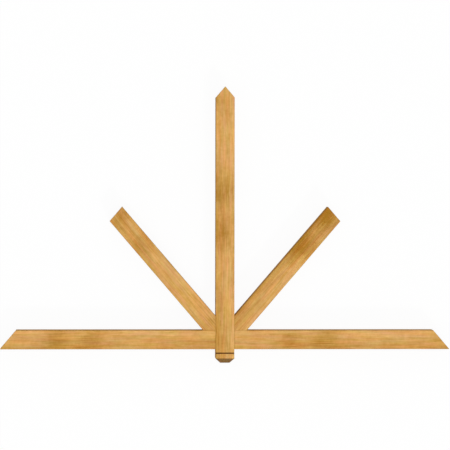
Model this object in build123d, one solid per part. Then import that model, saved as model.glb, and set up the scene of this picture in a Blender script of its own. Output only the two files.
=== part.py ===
from build123d import *
import os
from math import atan2, cos, sin

# Timber gable bracket: a king post, a tie beam in two halves and two struts, butted flush.
# Millimetres. X runs along the beam, Y up the gable and Z out of the front face.
# The bracket lies on its back: every back is on Z = 0, and Y = 0 is the beam's underside.

# Driving dimensions
SPAN = 2133.6             # tip to tip along the beam's underside
ROOF_RISE = 14.0          # roof pitch: this rise
ROOF_RUN = 12.0           # on this run
FACE_WIDTH = 88.9         # face of the planed stock that every timber is cut from
DEPTH = 88.9              # the same stock, front to back
ARRIS_RADIUS = 1.0        # easing of the long edges
PENDANT_DROP = 66.0       # post's foot below the beam's underside
PENDANT_CHAMFER = 22.2    # 45 degree chamfer on the four sides of the foot
KERF_DROP = 19.0          # beam's underside to the middle of the kerf across the foot
KERF_WIDTH = 6.5
KERF_DEPTH = 6.0

# Worked out from them
LEFT, RIGHT = -1, 1
half_span = SPAN / 2
half_face = FACE_WIDTH / 2
pitch = atan2(ROOF_RISE, ROOF_RUN)
apex_height = half_span * ROOF_RISE / ROOF_RUN
saw_waste = 2 * FACE_WIDTH    # stock left past each slanting cut


def planed_stock(start, end):
    """Timber from start to end, which lie on its back, with its four long arrises eased."""
    along = end - start
    section = Plane(origin=start + Vector(0, 0, DEPTH / 2), x_dir=(0, 0, 1), z_dir=along)
    return extrude(section * RectangleRounded(DEPTH, FACE_WIDTH, ARRIS_RADIUS), along.length)


def saw_off(timber, point, outward):
    """Timber without what lies past the plane through point."""
    return split(timber, Plane(origin=point, z_dir=outward), keep=Keep.BOTTOM)


def saw_to_rafter(timber, side):
    """Timber cut on the pitch line, to seat under the rafter of one side."""
    eaves = Vector(side * half_span, 0, 0)
    return saw_off(timber, eaves, (side * sin(pitch), cos(pitch), 0))


def king_post():
    """Post from its chamfered foot up to a point between the two rafters."""
    foot = Vector(0, -PENDANT_DROP, 0)
    post = planed_stock(foot, Vector(0, apex_height + saw_waste, 0))
    chamfer_top = PENDANT_CHAMFER - PENDANT_DROP
    for side in (LEFT, RIGHT):
        post = saw_to_rafter(post, side)
        post = saw_off(post, (side * half_face, chamfer_top, 0), (side, -1, 0))
    post = saw_off(post, (0, chamfer_top, DEPTH), (0, -1, 1))
    post = saw_off(post, (0, chamfer_top, 0), (0, -1, -1))
    kerf = Box(2 * FACE_WIDTH, KERF_WIDTH, 2 * KERF_DEPTH)
    return post - Pos(0, -KERF_DROP, DEPTH) * kerf


def beam_half(side):
    """Half of the tie beam: square against the post, slanted under the rafter."""
    at_post = Vector(side * half_face, half_face, 0)
    at_eaves = Vector(side * (half_span + saw_waste), half_face, 0)
    return saw_to_rafter(planed_stock(at_post, at_eaves), side)


def strut(side):
    """Strut whose centreline runs from the corner of post and beam, parallel to the far rafter."""
    corner = Vector(side * half_face, FACE_WIDTH, 0)
    along = Vector(side * cos(pitch), sin(pitch), 0)
    rise_at_post = apex_height - half_face * ROOF_RISE / ROOF_RUN
    length = (rise_at_post - FACE_WIDTH) / (2 * sin(pitch))
    brace = planed_stock(corner - along * saw_waste, corner + along * (length + saw_waste))
    brace = saw_off(brace, corner, (-side, 0, 0))
    brace = saw_off(brace, corner, (0, -1, 0))
    return saw_to_rafter(brace, side)


timbers = {
    "king_post": king_post(),
    "left_beam": beam_half(LEFT),
    "right_beam": beam_half(RIGHT),
    "left_strut": strut(LEFT),
    "right_strut": strut(RIGHT),
}

os.makedirs("parts", exist_ok=True)
for name, timber in timbers.items():
    export_step(timber, f"parts/{name}.step")
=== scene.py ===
from collections import namedtuple
from math import asin, atan2, pi, radians, sin, tan

import bpy
from mathutils import Matrix, Vector


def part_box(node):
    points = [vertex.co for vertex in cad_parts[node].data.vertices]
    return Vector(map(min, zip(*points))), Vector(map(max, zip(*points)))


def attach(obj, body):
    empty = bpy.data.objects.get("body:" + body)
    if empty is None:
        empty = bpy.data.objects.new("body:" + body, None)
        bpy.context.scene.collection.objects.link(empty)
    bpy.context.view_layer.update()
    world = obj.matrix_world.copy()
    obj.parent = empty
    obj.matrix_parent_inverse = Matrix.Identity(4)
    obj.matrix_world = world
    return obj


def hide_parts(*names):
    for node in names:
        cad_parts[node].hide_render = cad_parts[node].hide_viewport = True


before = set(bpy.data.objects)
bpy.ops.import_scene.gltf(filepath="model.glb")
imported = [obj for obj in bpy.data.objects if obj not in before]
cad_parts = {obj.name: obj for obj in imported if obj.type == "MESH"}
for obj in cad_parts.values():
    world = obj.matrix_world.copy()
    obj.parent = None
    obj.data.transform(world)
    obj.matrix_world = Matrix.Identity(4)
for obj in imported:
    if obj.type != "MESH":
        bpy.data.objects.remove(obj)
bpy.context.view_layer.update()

# King post
# One length of planed softwood, sawn to a point under the ridge. Its foot hangs below the beam
# as a pendant, chamfered on four sides, with one saw kerf across the front face.

post_low, post_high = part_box("king_post")
beam_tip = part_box("right_beam")[1].x
apex = post_high.y
timber_face = post_high.x - post_low.x
timber_depth = post_high.z - post_low.z
half_face = timber_face / 2
rafter_slope = apex / beam_tip
roof_pitch = atan2(apex, beam_tip)

PENDANT_CHAMFER = 0.0222
KERF_DROP = 0.019          # beam's underside to the middle of the kerf
KERF_WIDTH = 0.0065
KERF_DEPTH = 0.006


class Wire:
    """A socket of a node tree. Arithmetic on it adds Math nodes, and node() adds any other node."""

    def __init__(self, tree, socket):
        self.tree = tree
        self.socket = socket

    def node(self, kind, values=None, output=0, stops=(), **settings):
        made = self.tree.nodes.new(kind)
        for name, setting in settings.items():
            setattr(made, name, setting)
        if stops:
            ramp = made.color_ramp
            while len(ramp.elements) < len(stops):
                ramp.elements.new(1.0)
            for element, (place, colour) in zip(ramp.elements, stops):
                element.position = place
                element.color = colour
        for key, value in (values or {}).items():
            if isinstance(value, Wire):
                self.tree.links.new(value.socket, made.inputs[key])
            else:
                made.inputs[key].default_value = value
        return Wire(self.tree, made.outputs[output])

    def other(self, output):
        return Wire(self.tree, self.socket.node.outputs[output])

    def maths(self, operation, *values):
        return self.node("ShaderNodeMath", dict(enumerate(values)), operation=operation)

    def __add__(self, value):
        return self.maths("ADD", self, value)

    def __radd__(self, value):
        return self.maths("ADD", value, self)

    def __sub__(self, value):
        return self.maths("SUBTRACT", self, value)

    def __rsub__(self, value):
        return self.maths("SUBTRACT", value, self)

    def __mul__(self, value):
        return self.maths("MULTIPLY", self, value)

    def __rmul__(self, value):
        return self.maths("MULTIPLY", value, self)

    def __truediv__(self, value):
        return self.maths("DIVIDE", self, value)

    def __rtruediv__(self, value):
        return self.maths("DIVIDE", value, self)

    def __pow__(self, value):
        return self.maths("POWER", self, value)

    def __abs__(self):
        return self.maths("ABSOLUTE", self)


def rise(value, low, high, to_low=0.0, to_high=1.0, **settings):
    """Value mapped from low..high to to_low..to_high, and held level beyond."""
    limits = {"Value": value, "From Min": low, "From Max": high, "To Min": to_low, "To Max": to_high}
    return value.node("ShaderNodeMapRange", limits, **settings)


def vector(x, y, z):
    return x.node("ShaderNodeCombineXYZ", {"X": x, "Y": y, "Z": z})


def parts_of(value):
    split = value.node("ShaderNodeSeparateXYZ", {"Vector": value})
    return split, split.other("Y"), split.other("Z")


def noise(place, detail=2.0, output="Fac"):
    """Smooth noise about 0.5, which repeats about once in each unit of place."""
    return place.node("ShaderNodeTexNoise", {"Vector": place, "Scale": 1.0, "Detail": detail}, output=output)


# How often a figure of the grain repeats in a metre, along and across, and how much it weighs
Figure = namedtuple("Figure", "along across weight", defaults=(1.0,))

ARRIS_RADIUS = 0.0007      # easing of the long edges
SAW_EDGE = 0.0004          # the sharp corner that is taken off a sawn end
ROW_LENGTH = 0.006         # mesh rows along a timber
ROWS_ACROSS = 29           # mesh rows on each face, of which the outer ones turn the arris
ARRIS_ROWS = 2
RELIEF = Figure(along=5, across=95, weight=0.00012)    # weight is the depth in metres
RELIEF_RANGE = (0.3, 0.7)
RELIEF_SEED_STEP = 7.3
CRISP_ANGLE = radians(28)
WELD_DISTANCE = 1e-6
NEVER_ZERO = 1e-9


def timber_tree():
    """Stock laid along X with eased arrises, its back on Z = 0, and both ends sawn to a slope."""
    tree = bpy.data.node_groups.new("planed timber", "GeometryNodeTree")
    sizes = ("Length", "Face", "Depth", "Arris", "Start Chamfer", "End Chamfer", "Start Slope Low",
             "Start Slope High", "End Slope Low", "End Slope High", "Grain Relief")
    for name in sizes:
        tree.interface.new_socket(name, in_out="INPUT", socket_type="NodeSocketFloat")
    for name in ("Rows Along", "Rows Across", "Seed"):
        tree.interface.new_socket(name, in_out="INPUT", socket_type="NodeSocketInt")
    tree.interface.new_socket("Material", in_out="INPUT", socket_type="NodeSocketMaterial")
    tree.interface.new_socket("Timber", in_out="OUTPUT", socket_type="NodeSocketGeometry")
    given = {socket.name: Wire(tree, socket) for socket in tree.nodes.new("NodeGroupInput").outputs}
    length = given["Length"]
    arris = given["Arris"]
    half_sizes = (given["Face"] / 2, given["Depth"] / 2)

    # A grid box two units wide, whose rows are then set out along and across the timber
    counts = {"Size": (2, 2, 2), "Vertices X": given["Rows Along"],
              "Vertices Y": given["Rows Across"], "Vertices Z": given["Rows Across"]}
    stock = length.node("GeometryNodeMeshCube", counts)
    unit_x, unit_y, unit_z = parts_of(length.node("GeometryNodeInputPosition"))
    last_row = given["Rows Along"] - 1
    row = (unit_x + 1) / 2 * last_row
    start_chamfer = given["Start Chamfer"]
    end_chamfer = given["End Chamfer"]
    between = length - start_chamfer - end_chamfer
    along = (rise(row, 0, 1, 0, start_chamfer) + rise(row, 1, last_row - 1, 0, between)
             + rise(row, last_row - 1, last_row, 0, end_chamfer))

    # The outer rows of every face turn the arris, and the rest share the flat
    half_rows = (given["Rows Across"] - 1) / 2
    flat_rows = half_rows - ARRIS_ROWS
    flats = []
    eases = []
    for unit, half_size in zip((unit_y, unit_z), half_sizes):
        rows_out = abs(unit) * half_rows
        flats.append(rise(rows_out, 0, flat_rows, 0, half_size - arris))
        eases.append(rise(rows_out, flat_rows, half_rows, 0, arris))
    reach = (eases[0] ** 2 + eases[1] ** 2) ** 0.5
    pull = length.maths("MINIMUM", arris / (reach + NEVER_ZERO), 1)

    # A chamfered end narrows by as much as the chamfer is long
    at_start = rise(along, 0, start_chamfer + NEVER_ZERO, start_chamfer, 0)
    at_end = rise(length - along, 0, end_chamfer + NEVER_ZERO, end_chamfer, 0)
    inset = at_start + at_end
    y, z = (length.maths("SIGN", unit) * (flat + ease * pull) * (1 - inset / half_size)
            for unit, flat, ease, half_size in zip((unit_y, unit_z), flats, eases, half_sizes))

    # Each end is sawn to its own slope on either side of the centreline
    high = length.maths("MAXIMUM", y, 0)
    low = length.maths("MAXIMUM", 0 - y, 0)
    start = low * given["Start Slope Low"] + high * given["Start Slope High"]
    end = length + low * given["End Slope Low"] + high * given["End Slope High"]
    x = start + along / length * (end - start)

    # The rows beside an edge are marked for painted shade, which darkens the wood along every edge
    rows_in = length.maths("MINIMUM", row - 1, last_row - 1 - row)
    rows_off = (2 - abs(unit_y) - abs(unit_z)) * half_rows - ARRIS_ROWS
    painted_edge_shade = rise(length.maths("MINIMUM", rows_in, rows_off), 0, 1, 1, 0)
    marked = length.node("GeometryNodeStoreNamedAttribute", {
        "Geometry": stock, "Name": "arris", "Value": painted_edge_shade}, data_type="FLOAT", domain="POINT")
    sawn = length.node("GeometryNodeSetPosition", {
        "Geometry": marked, "Position": vector(x, y, z + half_sizes[1])})

    # Planing leaves the soft growth a little lower than the hard, in lines along the timber
    here_x, here_y, here_z = parts_of(length.node("GeometryNodeInputPosition"))
    lines = vector(here_x * RELIEF.along + given["Seed"] * RELIEF_SEED_STEP,
                   here_y * RELIEF.across, here_z * RELIEF.across)
    sink = (0 - given["Grain Relief"]) * rise(noise(lines, detail=1.0), *RELIEF_RANGE)
    normal = length.node("GeometryNodeInputNormal")
    inward = length.node("ShaderNodeVectorMath", {0: normal, "Scale": sink}, operation="SCALE")
    planed = length.node("GeometryNodeSetPosition", {"Geometry": sawn, "Offset": inward})

    # Arrises shade round, saw cuts stay crisp
    welded = length.node("GeometryNodeMergeByDistance", {"Geometry": planed, "Distance": WELD_DISTANCE})
    smooth = length.node("GeometryNodeSetShadeSmooth", {"Geometry": welded, "Shade Smooth": True})
    corner = length.node("GeometryNodeInputMeshEdgeAngle")
    crisp = length.node("FunctionNodeCompare", {0: corner, 1: CRISP_ANGLE}, operation="GREATER_THAN")
    edged = length.node("GeometryNodeSetShadeSmooth", {
        "Geometry": smooth, "Selection": crisp, "Shade Smooth": False}, domain="EDGE")
    real = length.node("GeometryNodeRealizeInstances", {"Geometry": edged})
    done = length.node("GeometryNodeSetMaterial", {"Geometry": real, "Material": given["Material"]})
    tree.links.new(done.socket, tree.nodes.new("NodeGroupOutput").inputs[0])
    return tree


def planed_timber(name, node, place, material, length, seed, start_slopes=(0.0, 0.0),
                  end_slopes=(0.0, 0.0), start_chamfer=SAW_EDGE):
    """One timber of the bracket, made by the timber tree and laid in its place on the floor."""
    piece = bpy.data.objects.new(name, bpy.data.meshes.new(name))
    bpy.context.scene.collection.objects.link(piece)
    saw = piece.modifiers.new("planed timber", "NODES")
    saw.node_group = timber_nodes
    values = {
        "Length": length, "Face": timber_face, "Depth": timber_depth, "Arris": ARRIS_RADIUS,
        "Start Chamfer": start_chamfer, "End Chamfer": SAW_EDGE,
        "Start Slope Low": start_slopes[0], "Start Slope High": start_slopes[1],
        "End Slope Low": end_slopes[0], "End Slope High": end_slopes[1],
        "Grain Relief": RELIEF.weight, "Rows Along": round(length / ROW_LENGTH),
        "Rows Across": ROWS_ACROSS, "Seed": seed, "Material": material,
    }
    for socket in timber_nodes.interface.items_tree:
        if socket.in_out == "INPUT":
            saw[socket.identifier] = values[socket.name]
    mesh = bpy.data.meshes.new_from_object(piece.evaluated_get(bpy.context.evaluated_depsgraph_get()))
    piece.modifiers.remove(saw)
    mesh.transform(place)
    piece.data = mesh
    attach(piece, "root")
    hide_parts(node)
    return piece


# Colour of the bare wood from its deepest tone to its palest, and the tints that play over it
DARK_HONEY = (0.380, 0.158, 0.008, 1)
MID_HONEY = (0.614, 0.322, 0.082, 1)
PALE_HONEY = (0.828, 0.479, 0.180, 1)
DEEPEST_TONE, PALEST_TONE, TONE_EASE = -0.5, 1.3, 0.6
AMBER_TINT = (1.035, 1.02, 0.905, 1)
CREAM_TINT = (0.965, 0.98, 1.095, 1)
PINK_TINT = (1.03, 0.95, 1.02, 1)
OLIVE_TINT = (0.97, 1.05, 0.98, 1)
TINT_RANGE = (0.35, 0.65)
NO_TINT = (1, 1, 1, 1)
END_GRAIN = (0.0, 0.02, 0.25, 1)
# Painted shade that a material is multiplied by: none on the timbers, and dark brown in the saw kerf for the
# shade inside the groove
NO_PAINTED_SHADE = (1, 1, 1)
KERF_PAINTED_SHADE = (0.31, 0.22, 0.16)

# Growth rings about the tree's heart, with the late wood at the end of each ring
HEART_ASIDE = 0.17         # heart to the timber's centreline, across its face
WANDER = Figure(along=1.6, across=6, weight=0.02)    # weight is how far a ring strays, in metres
BAND = Figure(along=3.5, across=42, weight=0.6)
RING_WIDTH = 0.0037
RING_SWAY = 2.2
LATE_RISE = (0.35, 0.88)
LATE_FALL = (0.9, 1.0)

# Figures of the grain, weighed in the tone
STREAK = Figure(along=9, across=150, weight=1.55)
MOTTLE = Figure(along=24, across=34, weight=0.7)
RIPPLE = Figure(along=95, across=60, weight=0.5)
FIBRE = Figure(along=30, across=800, weight=1.15)
FLUSH = Figure(along=9, across=60)
WARMTH = Figure(along=6, across=45)
PORES = Figure(along=300, across=1400, weight=0.5)
MIDDLE_TONE = 0.62
LATE_TONE, LATE_MIDDLE = 0.22, 0.3
# painted shade: how much darker the wood is painted along every edge
EDGE_PAINTED_SHADE = 0.32

# A cloud is a soft patch, darker by its strength. Its middle lies along the timber and aside from
# the centreline, and it fades out over its reach along the fibre and its breadth across it.
Cloud = namedtuple("Cloud", "along reach strength aside breadth", defaults=(0.0, 0.09))
CLOUD_BACK = 0.6           # share of the depth that lies behind every cloud
CLOUD_DRIFT = 0.1          # how far the wander moves a cloud's edge along the timber

# Planed faces are dull, and cuts across the fibre drink in the finish
END_CROSSING = (0.45, 0.72)    # share of the fibre's direction in the surface's normal
END_DRINK, LATE_DRINK = 0.52, 0.22
ROUGHNESS, FIBRE_ROUGHNESS, LATE_POLISH = 0.90, 0.2, 0.08
SPECULAR = 0.2
FIBRE_BUMP, LATE_BUMP, STREAK_BUMP, PORE_BUMP = 0.6, 0.3, 0.3, 0.8
BUMP_STRENGTH, BUMP_DISTANCE = 0.35, 0.0006


def planed_softwood(name, place, heart, heart_shade, seed, clouds, painted_shade=NO_PAINTED_SHADE):
    """Honey-coloured softwood in the solid: rings about a heart outside the timber, deeper towards
    the heart, with streaks, soft clouds, fine fibre, and darker end grain where a cut crosses it."""
    material = bpy.data.materials.new(name)
    material.use_nodes = True
    tree = material.node_tree
    shader = tree.nodes["Principled BSDF"]
    start = Wire(tree, tree.nodes.new("ShaderNodeTexCoord").outputs["Object"])
    spot = start.node("ShaderNodeMapping", {
        "Vector": start, "Location": place.translation, "Rotation": place.to_euler()}, vector_type="TEXTURE")
    along, across, into = parts_of(spot)

    def grain(figure, shift, **settings):
        """A figure's noise, drawn out along the fibre."""
        stretch = {0: spot, 1: (figure.along, figure.across, figure.across), 2: shift}
        return noise(start.node("ShaderNodeVectorMath", stretch, operation="MULTIPLY_ADD"), **settings)

    def swing(value, figure):
        return (value - 0.5) * figure.weight

    def blend(factor, first, second):
        """The first colour, going over to the second: inputs 6 and 7 of a Mix node, and output 2."""
        return start.node("ShaderNodeMix", {0: factor, 6: first, 7: second}, output=2, data_type="RGBA")

    # Growth rings about the heart, which wander a little along the timber
    wander_across, wander_into, wander_along = parts_of(grain(WANDER, (seed, 0, 0), output="Color"))
    heart_across, heart_into = heart
    from_heart_across = across - heart_across + swing(wander_across, WANDER)
    from_heart_into = into - heart_into + swing(wander_into, WANDER)
    radius = (from_heart_across ** 2 + from_heart_into ** 2) ** 0.5
    middle = (heart_across ** 2 + (timber_depth - heart_into) ** 2) ** 0.5
    sapward = (radius - middle) / half_face
    band = noise(vector(radius * BAND.across + seed, along * BAND.along, seed))
    share = start.maths("FRACT", radius / RING_WIDTH + band * RING_SWAY)
    late = rise(share, *LATE_RISE, interpolation_type="SMOOTHSTEP") * rise(share, *LATE_FALL, 1.0, 0.0)

    # Streaks, mottle and fibre along the timber, and a faint ripple across it
    streak = grain(STREAK, (seed, 0, 0))
    mottle = grain(MOTTLE, (seed, 0, 0))
    ripple = grain(RIPPLE, (seed, 0, 0))
    fibre = grain(FIBRE, (0, seed, 0), detail=3.0)

    # Soft darker clouds in the figure, strongest at the front face
    fade = rise(into, CLOUD_BACK * timber_depth, timber_depth)
    drift = (wander_along - 0.5) * CLOUD_DRIFT
    cloud = 0
    for spread in clouds:
        off_along = (along - spread.along + drift) / spread.reach
        off_across = (across - spread.aside) / spread.breadth
        cloud = cloud + spread.strength * start.maths("EXPONENT", 0 - (off_along ** 2 + off_across ** 2))

    # The arris attribute carries the painted shade along the edges
    arris = start.node("ShaderNodeAttribute", output="Fac", attribute_name="arris")
    tone = (MIDDLE_TONE + heart_shade * sapward - cloud * fade + swing(band, BAND) + swing(streak, STREAK)
            + swing(mottle, MOTTLE) + swing(ripple, RIPPLE) + swing(fibre, FIBRE)
            + (LATE_MIDDLE - late) * LATE_TONE - arris * EDGE_PAINTED_SHADE)
    held = start.maths("SMOOTH_MAX", tone, DEEPEST_TONE, TONE_EASE)
    honey = start.node("ShaderNodeValToRGB", {"Fac": rise(held, DEEPEST_TONE, PALEST_TONE)},
                       stops=((0.0, DARK_HONEY), (0.5, MID_HONEY), (1.0, PALE_HONEY)))
    warmth = blend(rise(grain(WARMTH, (-seed, 0, 0)), *TINT_RANGE), CREAM_TINT, AMBER_TINT)
    flush = blend(rise(grain(FLUSH, (0, seed, 0)), *TINT_RANGE), OLIVE_TINT, PINK_TINT)

    # End grain drinks more finish, so it is darker where the surface crosses the fibre
    normal = start.node("ShaderNodeNewGeometry", output="Normal")
    fibre_way = place.to_3x3() @ Vector((1, 0, 0))
    crossing = abs(start.node("ShaderNodeVectorMath", {0: normal, 1: fibre_way}, output="Value",
                              operation="DOT_PRODUCT"))
    end_grain = rise(crossing, *END_CROSSING)
    pores = grain(PORES, (0, 0, seed))
    drink = end_grain * (END_DRINK + late * LATE_DRINK + swing(pores, PORES))

    colour = honey
    # The last layer is the painted shade, which is white except in the kerf
    for layer in (warmth, flush, blend(drink, NO_TINT, END_GRAIN), painted_shade):
        colour = start.node("ShaderNodeVectorMath", {0: colour, 1: layer}, operation="MULTIPLY")
    tree.links.new(colour.socket, shader.inputs["Base Color"])

    rough = ROUGHNESS + (fibre - 0.5) * FIBRE_ROUGHNESS - late * LATE_POLISH
    tree.links.new(rough.socket, shader.inputs["Roughness"])
    shader.inputs["Specular IOR Level"].default_value = SPECULAR
    height = fibre * FIBRE_BUMP + late * LATE_BUMP + streak * STREAK_BUMP + pores * end_grain * PORE_BUMP
    bump = start.node("ShaderNodeBump", {
        "Height": height, "Strength": BUMP_STRENGTH, "Distance": BUMP_DISTANCE}, output="Normal")
    tree.links.new(bump.socket, shader.inputs["Normal"])
    return material


def box_mesh(name, low, high):
    """A plain box from one corner to the other."""
    corners = [(x, y, z) for x in (low[0], high[0]) for y in (low[1], high[1]) for z in (low[2], high[2])]
    faces = [(0, 1, 3, 2), (4, 6, 7, 5), (0, 4, 5, 1), (2, 3, 7, 6), (0, 2, 6, 4), (1, 5, 7, 3)]
    mesh = bpy.data.meshes.new(name)
    mesh.from_pydata(corners, [], faces)
    return mesh


timber_nodes = timber_tree()
post_place = Matrix.Translation((0, post_low.y, 0)) @ Matrix.Rotation(pi / 2, 4, "Z")
post_figure = {
    "heart": (HEART_ASIDE, 0.02), "heart_shade": 0.24, "seed": 3.1,
    "clouds": (
        Cloud(along=0.81, reach=0.075, strength=0.58, aside=0.01),
        Cloud(along=0.63, reach=0.075, strength=0.58, aside=0.01),
        Cloud(along=0.12, reach=0.13, strength=0.36, aside=0.02, breadth=0.035),
        Cloud(along=1.24, reach=0.04, strength=0.2),
        Cloud(along=1.02, reach=0.09, strength=-0.06),
    ),
}
post_wood = planed_softwood("post wood", post_place, **post_figure)
# The kerf's walls take the post's wood with painted shade, for the shade inside the groove
kerf_shaded_wood = planed_softwood("kerf wood with painted shade", post_place, **post_figure, painted_shade=KERF_PAINTED_SHADE)
post = planed_timber("post_timber", "king_post", post_place, post_wood, apex - post_low.y, seed=1,
                     end_slopes=(-rafter_slope, -rafter_slope), start_chamfer=PENDANT_CHAMFER)

kerf_low = (-timber_face, -KERF_DROP - KERF_WIDTH / 2, timber_depth - KERF_DEPTH)
kerf_high = (timber_face, -KERF_DROP + KERF_WIDTH / 2, 2 * timber_depth)
saw_blade = bpy.data.objects.new("saw blade", box_mesh("saw blade", kerf_low, kerf_high))
saw_blade.data.materials.append(kerf_shaded_wood)
bpy.context.scene.collection.objects.link(saw_blade)
kerf = post.modifiers.new("kerf", "BOOLEAN")
kerf.operation = "DIFFERENCE"
kerf.solver = "EXACT"
kerf.material_mode = "TRANSFER"
kerf.object = saw_blade
kerfed = bpy.data.meshes.new_from_object(post.evaluated_get(bpy.context.evaluated_depsgraph_get()))
post.modifiers.remove(kerf)
post.data = kerfed
bpy.data.objects.remove(saw_blade)

# Tie beam
# Two halves of the same stock, butted square against the sides of the post and flush with its face.
# Their outer ends are sawn on the roof pitch, to a point at the eaves.

WOOD_SEED_STEP = 1.7
BEAM_HEART_DEPTH = 0.03
BEAM_HEART_SHADE = 0.28
beam_length = beam_tip - half_face - half_face / rafter_slope
left_beam_clouds = (
    Cloud(along=0.76, reach=0.06, strength=0.58),
    Cloud(along=0.60, reach=0.07, strength=0.58),
    Cloud(along=0.06, reach=0.16, strength=0.17, breadth=0.12),
)
right_beam_clouds = (
    Cloud(along=0.26, reach=0.06, strength=0.44),
    Cloud(along=0.43, reach=0.07, strength=0.58),
    Cloud(along=0.98, reach=0.05, strength=0.3),
)
for side, node, seed, turned, clouds in (
    (-1, "left_beam", 5, pi, left_beam_clouds),
    (1, "right_beam", 6, 0.0, right_beam_clouds),
):
    beam_place = Matrix.Translation((side * half_face, half_face, 0)) @ Matrix.Rotation(turned, 4, "Z")
    beam_wood = planed_softwood(f"{node} wood", beam_place, heart=(-side * HEART_ASIDE, BEAM_HEART_DEPTH),
                                heart_shade=BEAM_HEART_SHADE, seed=seed * WOOD_SEED_STEP, clouds=clouds)
    planed_timber(f"{node}_timber", node, beam_place, beam_wood, beam_length, seed=seed,
                  end_slopes=(side / rafter_slope, -side / rafter_slope))

# Struts
# Two slanting lengths of the stock, each parallel to the far rafter. The foot is sawn to a right
# angle that fills the corner of post and beam, and the head is sawn to lie under its own rafter.

rafter_at_post = apex - half_face * rafter_slope
strut_length = (rafter_at_post - timber_face) / (2 * sin(roof_pitch))
foot_slopes = (1 / rafter_slope, rafter_slope)
head_slopes = (1 / tan(2 * roof_pitch), -1 / tan(2 * roof_pitch))
left_strut_figure = {
    "heart": (HEART_ASIDE, 0.01), "heart_shade": 0.07,
    "clouds": (
        Cloud(along=0.70, reach=0.05, strength=0.6),
        Cloud(along=0.54, reach=0.06, strength=0.5),
        Cloud(along=0.02, reach=0.05, strength=0.3),
    ),
}
right_strut_figure = {
    "heart": (HEART_ASIDE, 0.08), "heart_shade": 0.30,
    "clouds": (
        Cloud(along=0.71, reach=0.08, strength=1.15, aside=0.03, breadth=0.08),
        Cloud(along=0.53, reach=0.07, strength=1.1, aside=0.03, breadth=0.08),
        Cloud(along=0.08, reach=0.25, strength=0.3),
    ),
}
for side, node, seed, leaning, figure in (
    (-1, "left_strut", 8, pi - roof_pitch, left_strut_figure),
    (1, "right_strut", 9, roof_pitch, right_strut_figure),
):
    strut_place = Matrix.Translation((side * half_face, timber_face, 0)) @ Matrix.Rotation(leaning, 4, "Z")
    strut_wood = planed_softwood(f"{node} wood", strut_place, seed=seed * WOOD_SEED_STEP, **figure)
    # The left strut has its low and high slopes the other way round
    planed_timber(f"{node}_timber", node, strut_place, strut_wood, strut_length, seed=seed,
                  start_slopes=foot_slopes[::side], end_slopes=head_slopes[::side])

# Floor and light
# The bracket lies on its back on a plain white floor under an even white dome. One soft lamp
# hangs over it, a little towards the apex, and a weaker one lights the underside of the beam.

FLOOR_REACH = 30.0
FLOOR_WHITE = 0.92         # share of the floor that is plain white, and the rest takes the shadow
SHADOW_PAPER = (0.95, 0.95, 0.95, 1)
BOUNCE_PAPER = (0.20, 0.20, 0.20, 1)    # what the floor throws back at the timber
WHITE = (1, 1, 1, 1)
DOME = 0.60
LAMP_SPREAD = radians(8)


def shows_background(tree):
    """One for the rays that see the background itself, by the camera, in gloss or through glass."""
    seen = Wire(tree, tree.nodes.new("ShaderNodeLightPath").outputs["Is Camera Ray"])
    return seen.maths("MINIMUM", seen + seen.other("Is Glossy Ray") + seen.other("Is Transmission Ray"), 1)


floor = bpy.data.objects.new("floor", bpy.data.meshes.new("floor"))
floor.data.from_pydata([(-FLOOR_REACH, -FLOOR_REACH, 0), (FLOOR_REACH, -FLOOR_REACH, 0),
                        (FLOOR_REACH, FLOOR_REACH, 0), (-FLOOR_REACH, FLOOR_REACH, 0)], [], [(0, 1, 2, 3)])
bpy.context.scene.collection.objects.link(floor)
paper = bpy.data.materials.new("white paper")
paper.use_nodes = True
paper.node_tree.nodes.clear()
shown = shows_background(paper.node_tree)
bounce = shown.node("ShaderNodeBsdfDiffuse", {"Color": BOUNCE_PAPER})
shaded = shown.node("ShaderNodeBsdfDiffuse", {"Color": SHADOW_PAPER})
plain = shown.node("ShaderNodeEmission", {"Color": WHITE, "Strength": 1.0})
backdrop = shown.node("ShaderNodeMixShader", {0: FLOOR_WHITE, 1: shaded, 2: plain})
mixed = shown.node("ShaderNodeMixShader", {0: shown, 1: bounce, 2: backdrop})
paper.node_tree.links.new(mixed.socket, paper.node_tree.nodes.new("ShaderNodeOutputMaterial").inputs[0])
floor.data.materials.append(paper)

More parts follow.
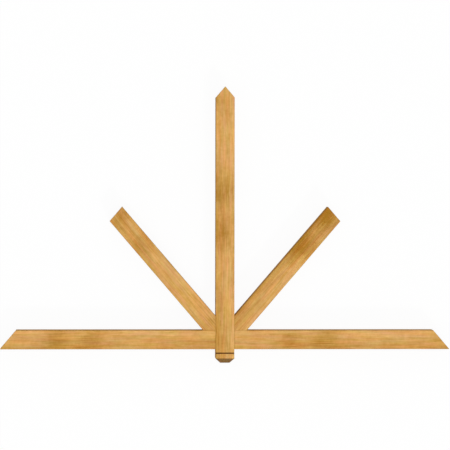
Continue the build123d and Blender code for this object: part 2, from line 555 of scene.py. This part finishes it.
world = bpy.data.worlds.new("studio")
bpy.context.scene.world = world
world.use_nodes = True
dome = world.node_tree.nodes["Background"]
strength = DOME + shows_background(world.node_tree) * (1 - DOME)
world.node_tree.links.new(strength.socket, dome.inputs["Strength"])
dome.inputs["Color"].default_value = WHITE

for name, towards, energy in (
    ("main lamp", Vector((0.0, 0.12, 1.0)), 0.86),
    ("fill lamp", Vector((0.30, -0.60, 0.50)), 0.70),
):
    lamp = bpy.data.objects.new(name, bpy.data.lights.new(name, "SUN"))
    lamp.data.energy = energy
    lamp.data.angle = LAMP_SPREAD
    lamp.rotation_euler = towards.to_track_quat("Z", "Y").to_euler()
    bpy.context.scene.collection.objects.link(lamp)

# Camera
# It looks down through a long lens from high above, a little up and to the left of the middle, so
# that a sliver of the post's left side and of the beam's top shows beside the front faces.

PICTURE = 450                  # pixels across, which the span just fills
BASE_LINE = 349.2              # pixel row of the beam's underside
CAMERA_PIXEL = (138, 176.6)    # pixel of the front faces' plane that lies straight under the camera
AIM_PIXEL = (200, 225)         # pixel of that plane that the lens points at
CAMERA_HEIGHT = 11.1           # over the front faces
LENS_TRIM = 1.0018             # makes up for what the lean takes off the span
LEVEL_TURN = 0.0012            # roll of the camera that lays the beam level
FRAME_SHIFT = (24.8, -0.1)     # pixels by which the picture is set off from the aim
SENSOR = 36.0
span = 2 * beam_tip
pixel = span / PICTURE
aim, eye = (Vector(((x - PICTURE / 2) * pixel, (BASE_LINE - y) * pixel, timber_depth))
            for x, y in (AIM_PIXEL, CAMERA_PIXEL))
eye.z += CAMERA_HEIGHT
lean = (eye - aim).normalized()
camera = bpy.data.objects.new("camera", bpy.data.cameras.new("camera"))
camera.location = eye
camera.rotation_euler = (-asin(lean.y), atan2(lean.x, lean.z), LEVEL_TURN)
camera.data.sensor_width = SENSOR
camera.data.lens = SENSOR * (eye - aim).length / span * LENS_TRIM
camera.data.shift_x, camera.data.shift_y = (pixels / PICTURE for pixels in FRAME_SHIFT)
bpy.context.scene.collection.objects.link(camera)
bpy.context.scene.camera = camera
bpy.context.scene.view_settings.view_transform = "Standard"
